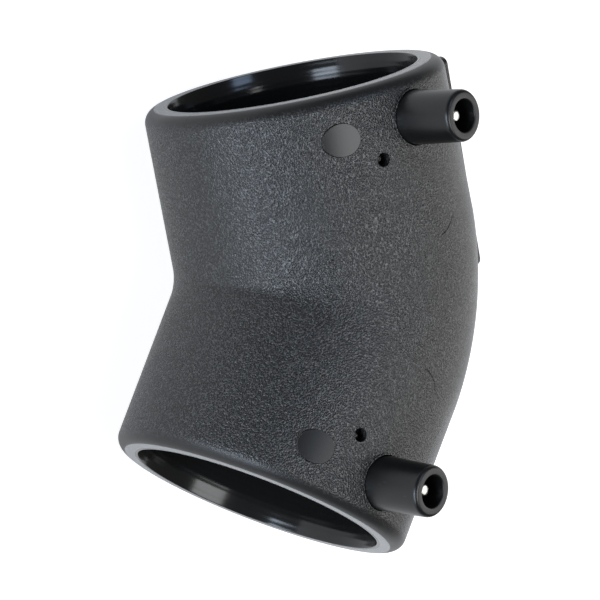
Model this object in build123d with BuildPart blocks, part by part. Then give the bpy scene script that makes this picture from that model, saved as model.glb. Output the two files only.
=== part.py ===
# Electrofusion elbow, 45 degrees, for polyethylene pipe of 90 mm outside diameter.
# The origin is the centre of the mouth of socket A, and +Y runs out of that mouth.
# The bend lies flat in the XY plane, and both terminals point up, along +Z.
import os
from math import cos, radians, sin, tan

from build123d import *

# Pipe sockets
pipe_od = 90.0
pipe_clearance = 0.3
socket_depth = 55.5
stop_height = 3.8
stop_run = 1.7

# Moulded body
bend_angle = 45.0
crease_radius = 1.8
mouth_wall = 9.0
wall_growth = 1.4
mouth_rounding = 5.3
rounding_chords = 2

# Raised flat for a label, on the outer side of leg A
label_width = 50.0
label_length = 81.4
label_from_mouth = 4.8
label_rise = 1.3
label_corner = 3.0
label_chamfer = 0.8

# Heating wire, embedded under the surface of each socket
wire_size = 1.0
wire_cover = 1.0
winding_length = 28.8
winding_turns = 4
chords_per_turn = 16
link_chords = 4
wire_tail = 1.0
wire_gap = 0.05

# Terminals: a pin that stands on the first turn of the wire, inside a shroud with a floor
terminal_from_mouth = 14.6
pin_diameter = 4.0
pin_root_diameter = 5.0
pin_recess = 3.4
shroud_od = 18.2
shroud_bore = 10.7
shroud_rise = 21.0
shroud_chamfer = 1.3
shroud_floor = 7.6
seat_depth = 4.8
pin_gap = 0.05
seat_gap = 0.15

# Melt indicator: a post that stands in a round well
indicator_from_mouth = 24.8
indicator_angle = 17.6
well_diameter = 4.8
well_depth = 5.8
post_diameter = 1.8
post_recess = 3.2

# Sizes that follow from these
bore_radius = pipe_od / 2 + pipe_clearance
flow_radius = bore_radius - stop_height
mouth_radius = bore_radius + mouth_wall
bend_body_radius = mouth_radius + wall_growth
bend_radius = bend_body_radius + crease_radius
straight_length = socket_depth + stop_run
leg_length = straight_length + bend_radius * tan(radians(bend_angle / 2))
wire_radius = bore_radius + wire_cover + wire_size / 2
turn_radius = wire_radius / cos(radians(180 / chords_per_turn))
winding_end = terminal_from_mouth + winding_length


def outer_radius(from_mouth):
    """The drafted wall of a leg, measured from the leg's axis."""
    return mouth_radius + wall_growth * from_mouth / straight_length


# Heights of the terminal above the leg's axis, from the wire to the tip
pin_foot = wire_radius + wire_size / 2 + wire_gap
seat_floor = outer_radius(terminal_from_mouth) - seat_depth
cup_floor = seat_floor + shroud_floor
shroud_tip = outer_radius(terminal_from_mouth) + shroud_rise
pin_tip = shroud_tip - pin_recess

# A leg's plane lies in its mouth: x points along the terminals and z runs out of the mouth.
# Its outer side is the side of the long outside curve of the bend.
up = Vector(0, 0, 1)
corner = Vector(0, -leg_length, 0)
out_of_b = Vector(-sin(radians(bend_angle)), -cos(radians(bend_angle)), 0)
mouth_a = Plane(origin=(0, 0, 0), x_dir=up, z_dir=(0, 1, 0))
mouth_b = Plane(origin=corner + out_of_b * leg_length, x_dir=up, z_dir=out_of_b)
legs = {"a": (mouth_a, mouth_a.y_dir), "b": (mouth_b, mouth_b.y_dir * -1)}

bend_start = mouth_a.offset(-straight_length)
bend_axis = Axis(bend_start.origin - mouth_a.y_dir * bend_radius, up * -1)


def inside(mouth, from_mouth):
    """The point on a leg's axis at a distance in from its mouth."""
    return mouth.origin - mouth.z_dir * from_mouth


def radial_plane(mouth, outer_side, from_mouth, angle):
    """A plane for profiles that are revolved about a radius of the leg.

    Its y runs out along the radius, at an angle from the terminals towards the inner side.
    """
    radius = up * cos(radians(angle)) - outer_side * sin(radians(angle))
    return Plane(inside(mouth, from_mouth), x_dir=mouth.z_dir, z_dir=mouth.z_dir.cross(radius))


def y_axis_of(plane):
    return Axis(plane.origin, plane.y_dir)


def rounding(x, y, radius):
    """Corners of chords that touch a quarter circle, which rounds off an outside corner at x, y."""
    step = 90 / (rounding_chords + 1)
    turns = [radians(step * (chord + 0.5)) for chord in range(rounding_chords + 1)]
    reach = radius / cos(radians(step / 2))
    return [(x - radius + reach * cos(turn), y - radius + reach * sin(turn)) for turn in turns]


def square_section(size, centre, x_dir, along):
    with BuildSketch() as square:
        Rectangle(size, size)
    return square.face().moved(Plane(centre, x_dir=x_dir, z_dir=along).location)


def winding_route(mouth, outer_side):
    """Chords of a helix: the first passes under the pin and the last ends beside the link."""
    chords = winding_turns * chords_per_turn
    under_pin = inside(mouth, terminal_from_mouth) + up * wire_radius
    points = [under_pin - outer_side * (pin_root_diameter / 2 + wire_tail)]
    for turned in [chord + 0.5 for chord in range(chords)]:
        angle = radians(360 * turned / chords_per_turn)
        radius = up * cos(angle) + outer_side * sin(angle)
        from_mouth = terminal_from_mouth + winding_length * turned / chords
        points.append(inside(mouth, from_mouth) + radius * turn_radius)
    points.append(inside(mouth, winding_end) + up * wire_radius)
    with BuildLine() as route:
        Polyline(*points)
    return route.wire()


def link_route(extra):
    """From the last turn in leg A, through the wall of the bend, to the last turn in leg B."""
    ends, bends = [], []
    for mouth, outer_side in legs.values():
        beside_last_turn = up * wire_radius + outer_side * (wire_size / 2 + wire_gap)
        ends.append(inside(mouth, winding_end - wire_size / 2 - extra) + beside_last_turn)
        bends.append(inside(mouth, straight_length) + beside_last_turn)
    with BuildLine() as route:
        bend = TangentArc(*bends, tangent=mouth_a.z_dir * -1, mode=Mode.PRIVATE)
        round_bend = [bend @ (chord / link_chords) for chord in range(link_chords + 1)]
        Polyline(ends[0], *round_bend, ends[1])
    return route.wire()


# Heating wire: a winding in each leg, and the link between them
coils = {}
for name, (mouth, outer_side) in legs.items():
    with BuildPart() as heating_coil:
        route = winding_route(mouth, outer_side)
        sweep(square_section(wire_size, route @ 0, up, route % 0), path=route, transition=Transition.RIGHT)
    coils[name] = heating_coil

with BuildPart() as link_wire:
    route = link_route(0)
    sweep(square_section(wire_size, route @ 0, up, route % 0), path=route, transition=Transition.RIGHT)

# Room in the wall for the wire
with BuildPart() as wire_channel:
    channel_size = wire_size + 2 * wire_gap
    for mouth, outer_side in legs.values():
        route = winding_route(mouth, outer_side)
        sweep(square_section(channel_size, route @ 0, up, route % 0), path=route, transition=Transition.RIGHT)
    route = link_route(wire_gap)
    sweep(square_section(channel_size, route @ 0, up, route % 0), path=route, transition=Transition.RIGHT)

# Elbow body: two drafted legs and the bend, what stands on them, then the hollows
with BuildPart() as elbow_body:
    for mouth, outer_side in legs.values():
        with BuildSketch(radial_plane(mouth, outer_side, 0, 0)):
            with BuildLine():
                Polyline(
                    (0, 0),
                    *rounding(0, mouth_radius, mouth_rounding),
                    (-straight_length, bend_body_radius),
                    (-straight_length, 0),
                    close=True,
                )
            make_face()
        revolve(axis=Axis(mouth.origin, mouth.z_dir))
    with BuildSketch(bend_start):
        Circle(bend_body_radius)
    revolve(axis=bend_axis, revolution_arc=bend_angle)

    label_from_axis = bend_body_radius + label_rise
    label_face = Plane(
        mouth_a.origin + mouth_a.y_dir * label_from_axis, x_dir=up, z_dir=mouth_a.y_dir
    )
    with BuildSketch(label_face):
        with Locations((0, label_from_mouth + label_length / 2)):
            RectangleRounded(label_width, label_length, label_corner)
    extrude(amount=flow_radius - label_from_axis)
    chamfer(elbow_body.faces().sort_by(Axis.X)[-1].edges(), label_chamfer)

    with BuildLine() as flow_line:
        Polyline(mouth_a.origin, corner, mouth_b.origin)
    with BuildSketch(mouth_a):
        Circle(flow_radius)
    sweep(path=flow_line.wire(), transition=Transition.RIGHT, mode=Mode.SUBTRACT)
    for mouth, outer_side in legs.values():
        with BuildSketch(mouth):
            Circle(bore_radius)
        extrude(amount=-socket_depth, mode=Mode.SUBTRACT)

    for mouth, outer_side in legs.values():
        seat_plane = radial_plane(mouth, outer_side, terminal_from_mouth, 0)
        pin_hole_radius = pin_root_diameter / 2 + pin_gap
        seat_radius = shroud_od / 2 + seat_gap
        with BuildSketch(seat_plane):
            with BuildLine():
                Polyline(
                    (0, wire_radius),
                    (pin_hole_radius, wire_radius),
                    (pin_hole_radius, seat_floor),
                    (seat_radius, seat_floor),
                    (seat_radius, shroud_tip),
                    (0, shroud_tip),
                    close=True,
                )
            make_face()
        revolve(axis=y_axis_of(seat_plane), mode=Mode.SUBTRACT)

        well_plane = radial_plane(mouth, outer_side, indicator_from_mouth, indicator_angle)
        well_rim = outer_radius(indicator_from_mouth)
        with BuildSketch(well_plane):
            with BuildLine():
                Polyline(
                    (0, well_rim - post_recess),
                    (post_diameter / 2, well_rim - post_recess),
                    (post_diameter / 2, well_rim - well_depth),
                    (well_diameter / 2, well_rim - well_depth),
                    (well_diameter / 2, bend_radius),
                    (0, bend_radius),
                    close=True,
                )
            make_face()
        revolve(axis=y_axis_of(well_plane), mode=Mode.SUBTRACT)

    add(wire_channel.part, mode=Mode.SUBTRACT)

# Terminals
pins, shrouds = {}, {}
for name, (mouth, outer_side) in legs.items():
    terminal_plane = radial_plane(mouth, outer_side, terminal_from_mouth, 0)
    with BuildPart() as terminal_pin:
        with BuildSketch(terminal_plane):
            with BuildLine():
                Polyline(
                    (0, pin_foot),
                    (pin_root_diameter / 2, pin_foot),
                    (pin_root_diameter / 2, cup_floor),
                    (pin_diameter / 2, cup_floor),
                    (pin_diameter / 2, pin_tip),
                    (0, pin_tip),
                    close=True,
                )
            make_face()
        revolve(axis=y_axis_of(terminal_plane))
    pins[name] = terminal_pin

    with BuildPart() as terminal_shroud:
        with BuildSketch(terminal_plane) as shroud_profile:
            with BuildLine():
                Polyline(
                    (pin_root_diameter / 2 + pin_gap, seat_floor),
                    (shroud_od / 2, seat_floor),
                    (shroud_od / 2, shroud_tip),
                    (shroud_bore / 2, shroud_tip),
                    (shroud_bore / 2, cup_floor),
                    (pin_root_diameter / 2 + pin_gap, cup_floor),
                    close=True,
                )
            make_face()
            rim = shroud_profile.vertices().group_by(Axis.Y)[-1]
            chamfer(rim.sort_by(Axis.X)[-1], shroud_chamfer)
        revolve(axis=y_axis_of(terminal_plane))
    shrouds[name] = terminal_shroud

os.makedirs("parts", exist_ok=True)
pieces = {"elbow_body": elbow_body, "link_wire": link_wire}
for name in legs:
    pieces[f"heating_coil_{name}"] = coils[name]
    pieces[f"terminal_pin_{name}"] = pins[name]
    pieces[f"terminal_shroud_{name}"] = shrouds[name]
for label, piece in pieces.items():
    piece.part.label = label
    export_step(piece.part, f"parts/{label}.step")
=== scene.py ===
from math import cos, pi, radians, sin, tan

import bpy
from mathutils import Matrix, Vector


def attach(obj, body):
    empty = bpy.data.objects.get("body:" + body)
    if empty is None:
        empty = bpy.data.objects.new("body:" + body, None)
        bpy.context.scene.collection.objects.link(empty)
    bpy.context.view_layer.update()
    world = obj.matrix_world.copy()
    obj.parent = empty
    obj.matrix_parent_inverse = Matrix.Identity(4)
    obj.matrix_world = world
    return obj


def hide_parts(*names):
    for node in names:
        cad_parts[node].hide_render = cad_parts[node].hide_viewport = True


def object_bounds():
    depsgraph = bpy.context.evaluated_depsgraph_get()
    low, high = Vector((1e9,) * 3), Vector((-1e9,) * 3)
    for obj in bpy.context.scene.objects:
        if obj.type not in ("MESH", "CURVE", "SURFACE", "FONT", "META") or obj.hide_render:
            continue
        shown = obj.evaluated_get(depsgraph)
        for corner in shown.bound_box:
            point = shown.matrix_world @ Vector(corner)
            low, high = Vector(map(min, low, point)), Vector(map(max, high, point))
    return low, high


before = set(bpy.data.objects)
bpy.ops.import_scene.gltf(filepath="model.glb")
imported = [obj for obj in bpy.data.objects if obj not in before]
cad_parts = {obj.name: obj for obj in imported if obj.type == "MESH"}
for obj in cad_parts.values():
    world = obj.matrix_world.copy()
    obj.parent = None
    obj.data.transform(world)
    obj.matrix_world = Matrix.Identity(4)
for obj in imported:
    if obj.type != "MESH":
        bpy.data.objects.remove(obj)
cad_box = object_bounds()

# Elbow body: a single injection moulding of black polyethylene, grained outside and smooth
# in both sockets, with a flat for a label, terminal seats and melt indicators on it. Leg A is
# shaped from a ring at its mouth, and leg B is its mirror image about the halving plane.
MM = 0.001
BORE_RADIUS = 45.3 * MM
FLOW_RADIUS = 41.5 * MM
MOUTH_RADIUS = 54.3 * MM
WALL_RADIUS_AT_BEND = 55.7 * MM
BEND_RADIUS = 57.5 * MM
SOCKET_DEPTH = 55.5 * MM
STRAIGHT_LENGTH = 57.2 * MM
MOUTH_ROUNDING = 4.9 * MM
BORE_ROUNDING = 0.25 * MM
STOP_CHAMFER = 0.3 * MM
PAST_HALVING = 2 * MM
HALF_BEND = radians(22.5)
LEG_LENGTH = STRAIGHT_LENGTH + BEND_RADIUS * tan(HALF_BEND)
CORNER = Vector((0, -LEG_LENGTH, 0))
HALVING_NORMAL = Vector((-sin(HALF_BEND), -cos(HALF_BEND), 0))
RING_POINTS = 192
SMOOTH_UNDER = radians(32)


def activate(piece):
    bpy.ops.object.select_all(action="DESELECT")
    piece.select_set(True)
    bpy.context.view_layer.objects.active = piece


def new_ring(name, radius, points, foot=(0, 0, 0), turn=(0, 0, 0)):
    """A ring of edges, from which a round shape is drawn out."""
    bpy.ops.object.select_all(action="DESELECT")
    bpy.ops.mesh.primitive_circle_add(vertices=points, radius=radius, location=foot, rotation=turn)
    ring = bpy.context.object
    ring.name = name
    return ring


def ring_round_leg(name, radius, points):
    """A ring at mouth A, square to leg A."""
    ring = new_ring(name, radius, points, turn=(pi / 2, 0, 0))
    bpy.ops.object.transform_apply(location=True, rotation=True, scale=True)
    return ring


def edit_edges():
    bpy.ops.object.mode_set(mode="EDIT")
    bpy.context.tool_settings.mesh_select_mode = (False, True, False)
    bpy.ops.mesh.select_all(action="SELECT")


def pick_edges(piece, wanted):
    """Leaves the piece in edit mode, with the edges selected whose two ends are as wanted."""
    edit_edges()
    bpy.ops.mesh.select_all(action="DESELECT")
    bpy.ops.object.mode_set(mode="OBJECT")
    for edge in piece.data.edges:
        edge.select = wanted(*(piece.data.vertices[end].co for end in edge.vertices))
    bpy.ops.object.mode_set(mode="EDIT")


def run_rings(stations, foot=(0, 0, 0), along=(0, 1, 0)):
    """Extrudes the selected ring from each (radius, distance) to the next, about an axis."""
    foot, along = Vector(foot), Vector(along)
    across = Vector((1, 1, 1)) - along
    for old, new in zip(stations, stations[1:]):
        bpy.ops.mesh.extrude_edges_move()
        bpy.ops.transform.resize(value=along + across * (new[0] / old[0]),
                                 center_override=foot + along * old[1])
        bpy.ops.transform.translate(value=along * (new[1] - old[1]))


def arc_points(centre, radius, start, end, steps):
    turns = [radians(start + (end - start) * step / steps) for step in range(steps + 1)]
    return [(centre[0] + radius * cos(turn), centre[1] + radius * sin(turn)) for turn in turns]


def evenly(start, end, steps):
    return [(start[0] + (end[0] - start[0]) * step / steps,
             start[1] + (end[1] - start[1]) * step / steps) for step in range(1, steps + 1)]


# The bore of leg A: from the rim inwards, past the stop, to beyond the halving plane
RIM = (BORE_RADIUS + BORE_ROUNDING, 0)
inner = [RIM] + arc_points((RIM[0], -BORE_ROUNDING), BORE_ROUNDING, 90, 180, 4)[1:]
inner += evenly(inner[-1], (BORE_RADIUS, -SOCKET_DEPTH), 10)
inner += evenly(inner[-1], (FLOW_RADIUS + STOP_CHAMFER, -SOCKET_DEPTH), 2)
inner += [(FLOW_RADIUS, -SOCKET_DEPTH - STOP_CHAMFER)]
flow_end = -LEG_LENGTH - FLOW_RADIUS * tan(HALF_BEND) - PAST_HALVING
inner += evenly(inner[-1], (FLOW_RADIUS, flow_end), 5)
body = ring_round_leg("elbow_moulding", RIM[0], RING_POINTS)
edit_edges()
run_rings(inner)
bpy.ops.mesh.select_all(action="SELECT")
bpy.ops.mesh.bisect(plane_co=CORNER, plane_no=HALVING_NORMAL, clear_outer=True, threshold=1e-7)

# The outside of leg A: across the flat rim, round the mouth, down the drafted wall, and
# round the bend as far as the halving plane
outer = [RIM] + evenly(RIM, (MOUTH_RADIUS - MOUTH_ROUNDING, 0), 2)
outer += arc_points((MOUTH_RADIUS - MOUTH_ROUNDING, -MOUTH_ROUNDING),
                    MOUTH_ROUNDING, 90, 0, 12)[1:]
outer += evenly(outer[-1], (WALL_RADIUS_AT_BEND, -STRAIGHT_LENGTH), 16)
pick_edges(body, lambda start, end: abs(start.y) < 1e-7 and abs(end.y) < 1e-7)
run_rings(outer)
bpy.ops.mesh.spin(steps=14, angle=HALF_BEND, axis=(0, 0, 1),
                  center=(-BEND_RADIUS, -STRAIGHT_LENGTH, 0))
bpy.ops.mesh.select_all(action="SELECT")
bpy.ops.mesh.remove_doubles(threshold=1e-6)
bpy.ops.object.mode_set(mode="OBJECT")


def apply_modifiers(piece):
    activate(piece)
    for modifier in list(piece.modifiers):
        bpy.ops.object.modifier_apply(modifier=modifier.name)


def close_up(piece):
    """Merges doubled points and turns all faces outwards."""
    activate(piece)
    edit_edges()
    bpy.ops.mesh.remove_doubles(threshold=2e-6)
    bpy.ops.mesh.normals_make_consistent(inside=False)
    bpy.ops.object.mode_set(mode="OBJECT")


bpy.ops.object.empty_add(location=CORNER, rotation=(0, 0, pi - HALF_BEND))
halving_plane = bpy.context.object


def mirror_to_leg_b(piece):
    twin = piece.modifiers.new("leg B", "MIRROR")
    twin.mirror_object = halving_plane
    twin.use_axis = (False, True, False)
    twin.use_mirror_merge = True
    twin.merge_threshold = 0.01 * MM
    apply_modifiers(piece)
    close_up(piece)


def combine(piece, tool, operation):
    """Joins, cuts or trims the piece with a solid, which is used up."""
    step = piece.modifiers.new(tool.name, "BOOLEAN")
    step.operation = operation
    step.solver = "EXACT"
    step.object = tool
    apply_modifiers(piece)
    bpy.data.objects.remove(tool)


def turned(name, profile, from_mouth, angle=0.0, across=0.0, points=64):
    """A solid turned about an upright or tilted axis on leg A, from its (radius, height)s."""
    foot = (across, -from_mouth, 0)
    piece = new_ring(name, profile[0][0], points, foot)
    edit_edges()
    bpy.ops.transform.translate(value=(0, 0, profile[0][1]))
    run_rings(profile, foot=foot, along=(0, 0, 1))
    bpy.ops.mesh.select_all(action="SELECT")
    bpy.ops.mesh.remove_doubles(threshold=1e-6)
    bpy.ops.mesh.fill_holes(sides=0)
    bpy.ops.object.mode_set(mode="OBJECT")
    piece.rotation_euler = (0, -angle, 0)
    activate(piece)
    bpy.ops.object.transform_apply(location=True, rotation=True, scale=True)
    close_up(piece)
    return piece


def wall_at(from_mouth):
    """The radius of the drafted wall."""
    return MOUTH_RADIUS + (WALL_RADIUS_AT_BEND - MOUTH_RADIUS) * from_mouth / STRAIGHT_LENGTH


mirror_to_leg_b(body)

# The flat for a label: a slab with round corners and edges, whose back is sunk in the wall
LABEL_WIDTH = 50.0 * MM
LABEL_LENGTH = 81.4 * MM
LABEL_START = 4.8 * MM
LABEL_FACE = WALL_RADIUS_AT_BEND + 1.3 * MM
LABEL_CORNER = 3.0 * MM
LABEL_EDGE = 0.8 * MM
SLAB = 12 * MM
SLAB_MIDDLE = (LABEL_FACE - SLAB / 2, -LABEL_START - LABEL_LENGTH / 2, 0)
BACK_NEAR_MOUTH = 47.2 * MM
BACK_NEAR_BEND = 44.6 * MM
bpy.ops.object.select_all(action="DESELECT")
bpy.ops.mesh.primitive_cube_add(size=1, location=SLAB_MIDDLE,
                                scale=(SLAB, LABEL_LENGTH, LABEL_WIDTH))
label_flat = bpy.context.object
label_flat.name = "label_flat"
bpy.ops.object.transform_apply(location=True, rotation=True, scale=True)
for corner in (vertex.co for vertex in label_flat.data.vertices):
    if corner.x < SLAB_MIDDLE[0]:
        corner.x = BACK_NEAR_MOUTH if corner.y > SLAB_MIDDLE[1] else BACK_NEAR_BEND
pick_edges(label_flat, lambda start, end: (
    abs(start.x - end.x) > 1 * MM and abs(start.z - end.z) < 1 * MM))
bpy.ops.mesh.bevel(offset=LABEL_CORNER, segments=8)
pick_edges(label_flat, lambda start, end: min(start.x, end.x) > LABEL_FACE - 0.01 * MM)
bpy.ops.mesh.bevel(offset=LABEL_EDGE, segments=4)
bpy.ops.object.mode_set(mode="OBJECT")
combine(body, label_flat, "UNION")

# A seat for the shroud in each leg, over the narrower hole for the root of the pin
OVER_WALL = 4 * MM
TERMINAL_FROM_MOUTH = 14.6 * MM
WALL_AT_TERMINAL = wall_at(TERMINAL_FROM_MOUTH)
SEAT_FLOOR = WALL_AT_TERMINAL - 4.8 * MM
SHROUD_FOOT_RADIUS = 9.35 * MM
SEAT_RADIUS = SHROUD_FOOT_RADIUS + 0.15 * MM
PIN_ROOT_RADIUS = 2.5 * MM
PIN_HOLE_RADIUS = PIN_ROOT_RADIUS + 0.05 * MM
PIN_FOOT = 47.35 * MM
PIN_HOLE_FLOOR = PIN_FOOT - 0.55 * MM
seat = turned("seat", [
    (PIN_HOLE_RADIUS, PIN_HOLE_FLOOR), (PIN_HOLE_RADIUS, SEAT_FLOOR),
    (SEAT_RADIUS, SEAT_FLOOR), (SEAT_RADIUS, WALL_AT_TERMINAL + OVER_WALL),
], TERMINAL_FROM_MOUTH, points=96)
mirror_to_leg_b(seat)
combine(body, seat, "DIFFERENCE")

# The melt indicator in each leg: a round well with a small post that stands up in it
INDICATOR_FROM_MOUTH = 24.8 * MM
INDICATOR_ANGLE = radians(17.6)
WALL_AT_INDICATOR = wall_at(INDICATOR_FROM_MOUTH)
WELL_RADIUS = 2.4 * MM
WELL_FLOOR = WALL_AT_INDICATOR - 5.8 * MM
POST_RADIUS = 0.9 * MM
POST_DRAFT = 0.1 * MM
POST_CHAMFER = 0.2 * MM
POST_TOP = WALL_AT_INDICATOR - 3.2 * MM
POST_ROOT = WELL_FLOOR - 0.5 * MM
well = turned("well", [
    (WELL_RADIUS, WELL_FLOOR), (WELL_RADIUS, WALL_AT_INDICATOR + OVER_WALL / 2),
], INDICATOR_FROM_MOUTH, INDICATOR_ANGLE, points=48)
mirror_to_leg_b(well)
combine(body, well, "DIFFERENCE")
post = turned("post", [
    (POST_RADIUS + POST_DRAFT, POST_ROOT), (POST_RADIUS, POST_TOP - POST_CHAMFER),
    (POST_RADIUS - POST_CHAMFER, POST_TOP),
], INDICATOR_FROM_MOUTH, INDICATOR_ANGLE, points=24)
mirror_to_leg_b(post)
combine(body, post, "UNION")

# The end of a round mould insert beside each terminal, and the lip round each seat. Both
# stand a little proud of the wall, so they are trimmed with a copy of it that is that much larger.
PROUD = 0.35 * MM
MARK_FROM_MOUTH = 15.0 * MM
MARK_ACROSS = -28.6 * MM
MARK_RADIUS = 5.5 * MM
IN_WALL = 38 * MM
ABOVE_WALL = 58 * MM
LIP_INSIDE = SEAT_RADIUS + 0.03 * MM
LIP_OUTSIDE = SEAT_RADIUS + 0.55 * MM
LIP_ROOT = SEAT_FLOOR + 1 * MM
round_mark = turned("round_mark", [(MARK_RADIUS, IN_WALL), (MARK_RADIUS, ABOVE_WALL)],
                    MARK_FROM_MOUTH, across=MARK_ACROSS, points=96)
lip = turned("lip", [
    (LIP_INSIDE, LIP_ROOT), (LIP_OUTSIDE, LIP_ROOT), (LIP_OUTSIDE, ABOVE_WALL),
    (LIP_INSIDE, ABOVE_WALL), (LIP_INSIDE, LIP_ROOT),
], TERMINAL_FROM_MOUTH, points=96)
combine(round_mark, lip, "UNION")
larger_wall = ring_round_leg("larger_wall", MOUTH_RADIUS + PROUD, 2 * RING_POINTS)
edit_edges()
mouth_end = (MOUTH_RADIUS + PROUD, 0)
run_rings([mouth_end] + evenly(mouth_end, (WALL_RADIUS_AT_BEND + PROUD, -STRAIGHT_LENGTH), 60))
bpy.ops.mesh.select_all(action="SELECT")
bpy.ops.mesh.fill_holes(sides=0)
bpy.ops.object.mode_set(mode="OBJECT")
close_up(larger_wall)
combine(round_mark, larger_wall, "INTERSECT")
mirror_to_leg_b(round_mark)
combine(body, round_mark, "UNION")
bpy.data.objects.remove(halving_plane)
close_up(body)


def add_node(tree, kind, sockets=None, **settings):
    """A node, with values for its sockets or links from other nodes' outputs."""
    node = tree.nodes.new(kind)
    for name, value in settings.items():
        setattr(node, name, value)
    for socket, value in (sockets or {}).items():
        if isinstance(value, bpy.types.NodeSocket):
            tree.links.new(value, node.inputs[socket])
        else:
            node.inputs[socket].default_value = value
    return node


def maths(tree, operation, *values):
    return add_node(tree, "ShaderNodeMath", dict(enumerate(values)), operation=operation).outputs[0]


def product(tree, first, *others):
    for value in others:
        first = maths(tree, "MULTIPLY", first, value)
    return first


def total(tree, first, *others):
    for value in others:
        first = maths(tree, "ADD", first, value)
    return first


def off_axis(tree, beside, along):
    """The distance from an axis, from the distances to it in two directions."""
    squares = total(tree, product(tree, beside, beside), product(tree, along, along))
    return maths(tree, "SQRT", squares)


def vectors(tree, operation, *values):
    """Vector maths: the vector or the number that the operation makes."""
    node = add_node(tree, "ShaderNodeVectorMath", dict(enumerate(values)), operation=operation)
    return next(output for output in node.outputs if output.enabled)


def own_place(tree):
    return add_node(tree, "ShaderNodeTexCoord").outputs["Object"]


def ramp(tree, value, start, end, low=0.0, high=1.0):
    """A smooth step of a value, from low at start to high at end."""
    return add_node(tree, "ShaderNodeMapRange", {
        "Value": value, "From Min": start, "From Max": end, "To Min": low, "To Max": high,
    }, interpolation_type="SMOOTHSTEP").outputs["Result"]


def mix_colours(tree, share, first, second):
    mix = add_node(tree, "ShaderNodeMix", {0: share, 6: first, 7: second}, data_type="RGBA")
    return mix.outputs[2]


def mix_values(tree, share, first, second):
    return add_node(tree, "ShaderNodeMix", {0: share, 2: first, 3: second}).outputs[0]


def bumped(tree, height, strength, distance, **settings):
    return add_node(tree, "ShaderNodeBump", {
        "Height": height, "Strength": strength, "Distance": distance}, **settings).outputs["Normal"]


def new_group(name, inputs, outputs):
    group = bpy.data.node_groups.new(name, "ShaderNodeTree")
    for socket, default in inputs.items():
        entry = group.interface.new_socket(socket, in_out="INPUT", socket_type="NodeSocketFloat")
        entry.default_value = default
    for socket in outputs:
        group.interface.new_socket(socket, in_out="OUTPUT", socket_type="NodeSocketFloat")
    return group, add_node(group, "NodeGroupInput"), add_node(group, "NodeGroupOutput")


def place_group(tree, group, **values):
    return add_node(tree, "ShaderNodeGroup", values, node_tree=group)


def new_material(name):
    material = bpy.data.materials.new(name)
    material.use_nodes = True
    tree = material.node_tree
    return material, tree, tree.nodes["Principled BSDF"]


def feed(tree, node, **links):
    for socket, value in links.items():
        tree.links.new(value, node.inputs[socket.replace("_", " ")])


# Where a point lies on its leg, with leg B folded over onto leg A at the halving plane
leg_place, _, leg_out = new_group("place on the leg", {}, ["From Mouth", "Across", "Up"])
from_corner = vectors(leg_place, "SUBTRACT", own_place(leg_place), tuple(CORNER))
past_halving = vectors(leg_place, "DOT_PRODUCT", from_corner, tuple(HALVING_NORMAL))
fold = product(leg_place, maths(leg_place, "MAXIMUM", past_halving, 0.0), -2.0)
back = add_node(leg_place, "ShaderNodeVectorMath", {0: tuple(HALVING_NORMAL), "Scale": fold},
                operation="SCALE").outputs["Vector"]
folded = add_node(leg_place, "ShaderNodeSeparateXYZ", {
    0: vectors(leg_place, "ADD", from_corner, back)})
feed(leg_place, leg_out, Across=folded.outputs["X"], Up=folded.outputs["Z"],
     From_Mouth=maths(leg_place, "SUBTRACT", LEG_LENGTH, folded.outputs["Y"]))

# The grain of a spark-eroded mould: small rounded pits of uneven size, run together
grain, grain_in, grain_out = new_group(
    "spark-eroded grain", {"Size": 0.7 * MM}, ["Height", "Peaks"])
at = own_place(grain)
pits_per_metre = maths(grain, "DIVIDE", 1.0, grain_in.outputs["Size"])
stir = add_node(grain, "ShaderNodeTexNoise", {
    "Vector": at, "Scale": product(grain, pits_per_metre, 0.6), "Detail": 2.0})
stirred = vectors(grain, "MULTIPLY_ADD", stir.outputs["Color"], (0.3 * MM, 0.3 * MM, 0.3 * MM), at)
pits = add_node(grain, "ShaderNodeTexVoronoi", {
    "Vector": stirred, "Scale": pits_per_metre, "Smoothness": 0.6}, feature="SMOOTH_F1")
rough = add_node(grain, "ShaderNodeTexNoise", {
    "Vector": at, "Scale": product(grain, pits_per_metre, 0.9), "Detail": 3.0, "Roughness": 0.6})
grain_height = total(grain, product(grain, pits.outputs["Distance"], 1.1),
                     product(grain, rough.outputs[0], 0.6))
feed(grain, grain_out, Height=grain_height, Peaks=ramp(grain, grain_height, 0.72, 1.15))

# Handling: broad uneven polish, and thin scratches that run two ways, each way given by the
# turn and the stretch of its pattern
SCRATCH_RUNS = (((0.4, 0.2, 0.9), (900.0, 22.0, 300.0)), ((1.1, 0.7, 2.3), (25.0, 800.0, 260.0)))
handling, handling_in, handling_out = new_group(
    "handling", {"Scratches": 0.5}, ["Polish", "Scratch"])
at = own_place(handling)
polish = add_node(handling, "ShaderNodeTexNoise", {"Vector": at, "Scale": 45.0, "Detail": 4.0})
scratches = []
for turn, stretch in SCRATCH_RUNS:
    run = add_node(handling, "ShaderNodeMapping", {
        "Vector": at, "Rotation": turn, "Scale": stretch})
    lines = add_node(handling, "ShaderNodeTexNoise", {
        "Vector": run.outputs[0], "Scale": 1.0, "Detail": 1.0})
    scratches.append(ramp(handling, lines.outputs[0], 0.72, 0.78))
feed(handling, handling_out, Polish=polish.outputs[0], Scratch=product(
    handling, maths(handling, "MAXIMUM", *scratches), handling_in.outputs["Scratches"]))


def polished(tree, use, smooth, rough):
    """Roughness that wanders between two values with the polish of handling."""
    return ramp(tree, use.outputs["Polish"], 0.3, 0.7, smooth, rough)


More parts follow.
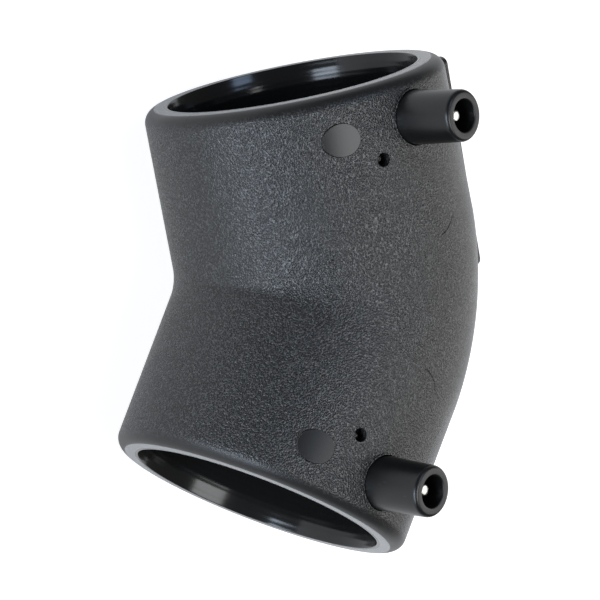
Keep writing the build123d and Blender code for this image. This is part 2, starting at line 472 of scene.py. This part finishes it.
# Two dents in the outer side of the bend, each a part of a circle: the circle's centre and
# radius, the dent's middle and half its length, in millimetres
DENT_HALF_WIDTH = 0.6 * MM
DENTS = (((-0.1, -43.0, 53.5), 13.3, (6.5, -54.4, 55.2), 6.0),
         ((-26.0, -105.9, 54.2), 11.0, (-15.6, -102.8, 55.4), 6.5))


def thin_dents(tree):
    at = own_place(tree)
    depths = []
    for centre, radius, middle, half_length in DENTS:
        from_centre = vectors(tree, "DISTANCE", at, tuple(Vector(centre) * MM))
        from_middle = vectors(tree, "DISTANCE", at, tuple(Vector(middle) * MM))
        off_line = maths(tree, "ABSOLUTE", maths(tree, "SUBTRACT", from_centre, radius * MM))
        depths.append(product(
            tree, ramp(tree, off_line, DENT_HALF_WIDTH, 0.1 * DENT_HALF_WIDTH),
            ramp(tree, from_middle, half_length * MM, 0.6 * half_length * MM)))
    return maths(tree, "MAXIMUM", *depths)


# The finish of the moulding: grain on the open wall only, with painted glints on its peaks, a fine
# parting line round the middle, bores with a slight lead-in and a ripple over the turns of wire,
# rims that are rubbed and also painted lighter as a painted reflection of the bright surroundings,
# and painted shade in the dents
BLACK = (0.0112, 0.011, 0.0108, 1)
# Painted glint: the grain peaks are painted lighter, as if they caught the lamps
PAINTED_GLINT = (0.112, 0.11, 0.108, 1)
# The flat rim: rubbed, and painted lighter as a painted reflection of the bright surroundings
RIM_RUBBED_AND_REFLECTING = (0.24, 0.24, 0.243, 1)
# Painted shade in the hollows of the dents
PAINTED_DENT_SHADE = (0.003, 0.003, 0.003, 1)
GRAIN_SIZE = 0.56 * MM
GRAIN_DEPTH = 0.22 * MM
WIRE_PITCH = 2.4 * MM
RIPPLE = 0.05
LEAD_IN = 7.2
WALL_ROUGHNESS = (0.26, 0.33)
MARK_ROUGHNESS = 0.3
BORE_ROUGHNESS = 0.16
body_finish, tree, shader = new_material("moulded_black_polyethylene")
place = place_group(tree, leg_place)
from_mouth, across, up = (place.outputs[name] for name in ("From Mouth", "Across", "Up"))
outside = ramp(tree, off_axis(tree, across, up), BORE_RADIUS + 0.8 * MM, BORE_RADIUS + 1.1 * MM)
from_mark = off_axis(tree, maths(tree, "SUBTRACT", across, MARK_ACROSS),
                     maths(tree, "SUBTRACT", from_mouth, MARK_FROM_MOUTH))
clear_of_mark = maths(
    tree, "MAXIMUM", ramp(tree, from_mark, MARK_RADIUS - 0.1 * MM, MARK_RADIUS + 0.1 * MM),
    ramp(tree, up, 1 * MM, -1 * MM))
clear_of_label = ramp(tree, across, LABEL_FACE - 0.1 * MM, LABEL_FACE - 0.3 * MM)
past_rounding = ramp(tree, from_mouth, 1.0 * MM, 5.0 * MM)
worn_outer_side = ramp(tree, across, 8 * MM, 30 * MM, 1.0, 0.35)
grainy = product(tree, outside, past_rounding, clear_of_mark, clear_of_label, worn_outer_side)
wall_grain = place_group(tree, grain, Size=GRAIN_SIZE)
peaks = product(tree, wall_grain.outputs["Peaks"], grainy)
use = place_group(tree, handling, Scratches=0.12)
parting_line = product(
    tree, outside, ramp(tree, maths(tree, "ABSOLUTE", up), 0.16 * MM, 0.05 * MM))
over_wire = maths(tree, "SINE", product(tree, from_mouth, 2 * pi / WIRE_PITCH))
bore_height = total(tree, product(tree, over_wire, RIPPLE),
                    ramp(tree, from_mouth, -4 * MM, 9 * MM, 0.0, LEAD_IN))
# The dent mask also darkens the colour: painted shade in the dents
dents = thin_dents(tree)
height = total(
    tree, product(tree, wall_grain.outputs["Height"], grainy),
    product(tree, bore_height, maths(tree, "SUBTRACT", 1.0, outside)),
    product(tree, parting_line, 0.7), product(tree, dents, -1.0),
    product(tree, use.outputs["Scratch"], grainy, -0.6))
rim = product(tree, outside, ramp(tree, from_mouth, 0.12 * MM, 0.04 * MM))
# Painted highlight: the grain peaks are lightened towards the painted glint colour
black_with_painted_glints = mix_colours(tree, product(tree, peaks, 0.6), BLACK, PAINTED_GLINT)
# The flat rim is painted lighter, rubbed and with a painted reflection; the dents are painted
# darker
colour = mix_colours(tree, dents, mix_colours(tree, rim, black_with_painted_glints, RIM_RUBBED_AND_REFLECTING), PAINTED_DENT_SHADE)
open_roughness = total(tree, polished(tree, use, *WALL_ROUGHNESS),
                       ramp(tree, from_mouth, 6.0 * MM, 1.0 * MM, 0.0, 0.1),
                       product(tree, peaks, -0.1))
wall_roughness = mix_values(tree, clear_of_mark, MARK_ROUGHNESS, open_roughness)
rough_share = maths(tree, "SUBTRACT", outside, product(tree, rim, 0.6))
roughness = mix_values(tree, rough_share, BORE_ROUGHNESS, wall_roughness)
feed(tree, shader, Base_Color=colour, Roughness=roughness,
     Normal=bumped(tree, height, 1.0, GRAIN_DEPTH))


def put_finish(piece, finish):
    """Smooth shading, and the finish in place of what the joined solids brought with them."""
    activate(piece)
    bpy.ops.object.shade_smooth_by_angle(angle=SMOOTH_UNDER)
    piece.data.materials.clear()
    piece.data.materials.append(finish)


put_finish(body, body_finish)
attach(body, "root")
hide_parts("elbow_body")

# Terminal shrouds: a smooth moulded sleeve of black polyethylene round each terminal, with
# a floor that the pin stands up through. Each is pressed into its seat in the body.
SHROUD_BORE_RADIUS = 5.35 * MM
SHROUD_RADIUS = 8.6 * MM
CUP_FLOOR = SEAT_FLOOR + 7.6 * MM
SHROUD_TIP = WALL_AT_TERMINAL + 21.0 * MM
FOOT_CHAMFER = 0.3 * MM
TIP_ROUND_ACROSS = 1.3 * MM
TIP_ROUND_ALONG = 1.6 * MM
SLEEVE_MOUTH_ROUND = 0.5 * MM
CUP_ROUND = 0.6 * MM
SHROUD_BLACK = (0.006, 0.006, 0.006, 1)
SHROUD_SCRATCH = (0.05, 0.05, 0.05, 1)
SHROUD_ROUGHNESS = (0.27, 0.34)
shroud_profile = [(PIN_HOLE_RADIUS, SEAT_FLOOR), (SHROUD_FOOT_RADIUS - FOOT_CHAMFER, SEAT_FLOOR),
                  (SHROUD_FOOT_RADIUS, SEAT_FLOOR + FOOT_CHAMFER)]
shroud_profile += evenly(shroud_profile[-1], (SHROUD_RADIUS, SHROUD_TIP - TIP_ROUND_ALONG), 8)
shroud_profile += [(SHROUD_RADIUS - (1 - cos(turn)) * TIP_ROUND_ACROSS,
                    SHROUD_TIP - (1 - sin(turn)) * TIP_ROUND_ALONG)
                   for turn in [radians(9 * step) for step in range(1, 11)]]
shroud_profile += arc_points(
    (SHROUD_BORE_RADIUS + SLEEVE_MOUTH_ROUND, SHROUD_TIP - SLEEVE_MOUTH_ROUND),
    SLEEVE_MOUTH_ROUND, 90, 180, 6)
shroud_profile += evenly(shroud_profile[-1], (SHROUD_BORE_RADIUS, CUP_FLOOR + CUP_ROUND), 4)
shroud_profile += arc_points((SHROUD_BORE_RADIUS - CUP_ROUND, CUP_FLOOR + CUP_ROUND),
                             CUP_ROUND, 0, -90, 5)[1:]
shroud_profile += [(PIN_HOLE_RADIUS, CUP_FLOOR), shroud_profile[0]]


def copy_to_leg_b(piece, name):
    """The same piece on leg B: it is carried from mouth A to mouth B and turned to face out."""
    twin = piece.copy()
    twin.data = piece.data.copy()
    twin.name = name
    bpy.context.collection.objects.link(twin)
    out_of_b = Vector((-sin(2 * HALF_BEND), -cos(2 * HALF_BEND), 0))
    mouth_b = CORNER + out_of_b * LEG_LENGTH
    twin.matrix_world = Matrix.Translation(mouth_b) @ Matrix.Rotation(pi - 2 * HALF_BEND, 4, "Z")
    activate(twin)
    bpy.ops.object.transform_apply(location=True, rotation=True, scale=True)
    return twin


shroud_a = turned("shroud_sleeve_a", shroud_profile, TERMINAL_FROM_MOUTH, points=128)
shroud_b = copy_to_leg_b(shroud_a, "shroud_sleeve_b")

shroud_finish, tree, shader = new_material("smooth_black_polyethylene")
use = place_group(tree, handling, Scratches=0.2)
fine = place_group(tree, grain, Size=0.4 * MM)
scratch = use.outputs["Scratch"]
height = maths(tree, "SUBTRACT", product(tree, fine.outputs["Height"], 0.06), scratch)
feed(tree, shader, Base_Color=mix_colours(tree, scratch, SHROUD_BLACK, SHROUD_SCRATCH),
     Roughness=polished(tree, use, *SHROUD_ROUGHNESS), Normal=bumped(tree, height, 0.7, 0.08 * MM))
for shroud, node in ((shroud_a, "terminal_shroud_a"), (shroud_b, "terminal_shroud_b")):
    put_finish(shroud, shroud_finish)
    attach(shroud, "root")
    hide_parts(node)

# Terminal pins: turned brass, plated bright, each with a thicker root that stands on the first
# turn of the heating wire, and a rounded tip inside the shroud.
PIN_RADIUS = 2.0 * MM
PIN_TIP = SHROUD_TIP - 3.4 * MM
PIN_TIP_ROUND = 0.7 * MM
PIN_END_RADIUS = 0.9 * MM
ROOT_CHAMFER = 0.2 * MM
SHOULDER_CHAMFER = 0.3 * MM
PIN_FILLET = 0.1 * MM
PLATING_DULL = (0.86, 0.83, 0.76, 1)
PLATING_BRIGHT = (0.93, 0.92, 0.88, 1)
PIN_ROUGHNESS = (0.2, 0.32)
TOOL_MARKS_PER_METRE = 50000.0
pin_profile = [(PIN_ROOT_RADIUS - ROOT_CHAMFER, PIN_FOOT),
               (PIN_ROOT_RADIUS, PIN_FOOT + ROOT_CHAMFER),
               (PIN_ROOT_RADIUS, CUP_FLOOR - SHOULDER_CHAMFER),
               (PIN_ROOT_RADIUS - SHOULDER_CHAMFER, CUP_FLOOR),
               (PIN_RADIUS + PIN_FILLET, CUP_FLOOR), (PIN_RADIUS, CUP_FLOOR + 2 * PIN_FILLET)]
pin_profile += evenly(pin_profile[-1], (PIN_RADIUS, PIN_TIP - PIN_TIP_ROUND), 5)
pin_profile += arc_points((PIN_RADIUS - PIN_TIP_ROUND, PIN_TIP - PIN_TIP_ROUND),
                          PIN_TIP_ROUND, 0, 80, 8)[1:]
pin_profile += [(PIN_END_RADIUS, PIN_TIP)]
pin_a = turned("contact_pin_a", pin_profile, TERMINAL_FROM_MOUTH, points=64)
pin_b = copy_to_leg_b(pin_a, "contact_pin_b")

pin_finish, tree, shader = new_material("plated_brass")
place = place_group(tree, leg_place)
use = place_group(tree, handling, Scratches=0.4)
from_pin = off_axis(tree, place.outputs["Across"],
                    maths(tree, "SUBTRACT", place.outputs["From Mouth"], TERMINAL_FROM_MOUTH))
tool_marks = maths(tree, "SINE", product(
    tree, total(tree, from_pin, place.outputs["Up"]), TOOL_MARKS_PER_METRE))
height = maths(tree, "SUBTRACT", product(tree, tool_marks, 0.05), use.outputs["Scratch"])
shader.inputs["Metallic"].default_value = 1.0
plating = mix_colours(tree, use.outputs["Polish"], PLATING_DULL, PLATING_BRIGHT)
feed(tree, shader, Base_Color=plating, Roughness=polished(tree, use, *PIN_ROUGHNESS),
     Normal=bumped(tree, height, 0.6, 0.03 * MM))
for pin, node in ((pin_a, "terminal_pin_a"), (pin_b, "terminal_pin_b")):
    put_finish(pin, pin_finish)
    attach(pin, "root")
    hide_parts(node)

# Heating wire: bare copper alloy, drawn, with its marks along each turn. Both windings and
# the link between them lie inside the moulding, so they keep the meshes of the plain model.
COPPER_DULL = (0.66, 0.34, 0.2, 1)
COPPER_BRIGHT = (0.8, 0.46, 0.3, 1)
WIRE_ROUGHNESS = (0.25, 0.45)
wire_finish, tree, shader = new_material("drawn_heating_wire")
use = place_group(tree, handling, Scratches=0.8)
shader.inputs["Metallic"].default_value = 1.0
copper = mix_colours(tree, use.outputs["Polish"], COPPER_DULL, COPPER_BRIGHT)
feed(tree, shader, Base_Color=copper, Roughness=polished(tree, use, *WIRE_ROUGHNESS),
     Normal=bumped(tree, use.outputs["Scratch"], 0.5, 0.02 * MM, invert=True))
for name in ("heating_coil_a", "heating_coil_b", "link_wire"):
    for wire_slot in bpy.data.objects[name].material_slots:
        wire_slot.material = wire_finish

# Floor: one sheet of matt pale card that the elbow lies on. It glows a little to the camera,
# and more with distance, so that it runs into the backdrop but keeps the elbow's shadow.
FLOOR_SIZE = 6
FLOOR_HEIGHT = cad_box[0][2]
FLOOR_GREY = (0.6, 0.6, 0.6, 1)
NEAR, FAR = 0.4, 1.4
NEAR_GLOW, FAR_GLOW, GLOSSY_GLOW = 0.85, 1.0, 0.38
bpy.ops.object.select_all(action="DESELECT")
bpy.ops.mesh.primitive_plane_add(size=FLOOR_SIZE, location=(0, 0, FLOOR_HEIGHT))
floor = bpy.context.object
floor.name = "floor"
floor_finish, tree, shader = new_material("pale_floor")
shader.inputs["Base Color"].default_value = FLOOR_GREY
shader.inputs["Roughness"].default_value = 0.9
shader.inputs["Emission Color"].default_value = (1, 1, 1, 1)
seen = add_node(tree, "ShaderNodeLightPath")
from_middle = vectors(tree, "LENGTH", own_place(tree))
camera_glow = ramp(tree, from_middle, NEAR, FAR, NEAR_GLOW, FAR_GLOW)
feed(tree, shader, Emission_Strength=total(
    tree, product(tree, seen.outputs["Is Camera Ray"], camera_glow),
    product(tree, seen.outputs["Is Glossy Ray"], GLOSSY_GLOW)))
floor.data.materials.append(floor_finish)

# Light: square soft panels round the elbow, one overhead, a bluish skylight, one at the right,
# one behind and two bluish windows at the left, in a dim room with a white backdrop
LIT_POINT = Vector((-0.02, -0.08, 0))
PANEL_DISTANCE = 1.3
ROOM_GREY = (0.105, 0.105, 0.105, 1)
BACKDROP_WHITE = (1, 1, 1, 1)


def soft_panel(name, towards, size, power, colour):
    """A square lamp in a direction from the elbow, facing it."""
    towards = Vector(towards).normalized()
    bpy.ops.object.light_add(type="AREA", location=LIT_POINT + towards * PANEL_DISTANCE)
    panel = bpy.context.object
    panel.name = name
    panel.rotation_euler = towards.to_track_quat("Z", "Y").to_euler()
    panel.data.size = size
    panel.data.energy = power
    panel.data.color = colour


soft_panel("overhead", (-0.1, -0.15, 0.98), 0.75, 8.2, (0.98, 0.99, 1.0))
soft_panel("skylight", (0.1, 0.45, 0.88), 0.4, 2.1, (0.52, 0.7, 1.0))
soft_panel("right", (0.92, -0.27, 0.28), 1.0, 2.6, (1.0, 0.99, 0.98))
soft_panel("behind", (0.66, -0.27, 0.70), 0.7, 2.6, (1.0, 1.0, 1.0))
soft_panel("window", (-0.93, -0.27, 0.26), 0.5, 4.6, (0.76, 0.86, 1.0))
soft_panel("low_window", (-0.95, 0.13, 0.2), 0.55, 8.5, (0.74, 0.85, 1.0))
room = bpy.data.worlds.new("pale room")
bpy.context.scene.world = room
room.use_nodes = True
tree = room.node_tree
seen = add_node(tree, "ShaderNodeLightPath")
feed(tree, tree.nodes["Background"],
     Color=mix_colours(tree, seen.outputs["Is Camera Ray"], ROOM_GREY, BACKDROP_WHITE))

# Camera: above and beside the elbow, turned so that the terminals point to the right. Its
# place, turn and lens were worked out from the outlines of both mouths in the photograph.
CAMERA_PLACE = (-0.397739, 0.076416, 0.404443)
CAMERA_TURN = Matrix((
    (0.678175, 0.321914, -0.660643, 0),
    (-0.189831, 0.945183, 0.265694, 0),
    (0.709959, -0.054776, 0.702109, 0),
    (0, 0, 0, 1),
))
LENS = 95.50482
SENSOR_WIDTH = 36
bpy.ops.object.camera_add(location=CAMERA_PLACE)
camera = bpy.context.object
camera.matrix_world = Matrix.Translation(camera.location) @ CAMERA_TURN
camera.data.lens = LENS
camera.data.sensor_width = SENSOR_WIDTH
bpy.context.scene.camera = camera
bpy.context.scene.view_settings.view_transform = "Standard"
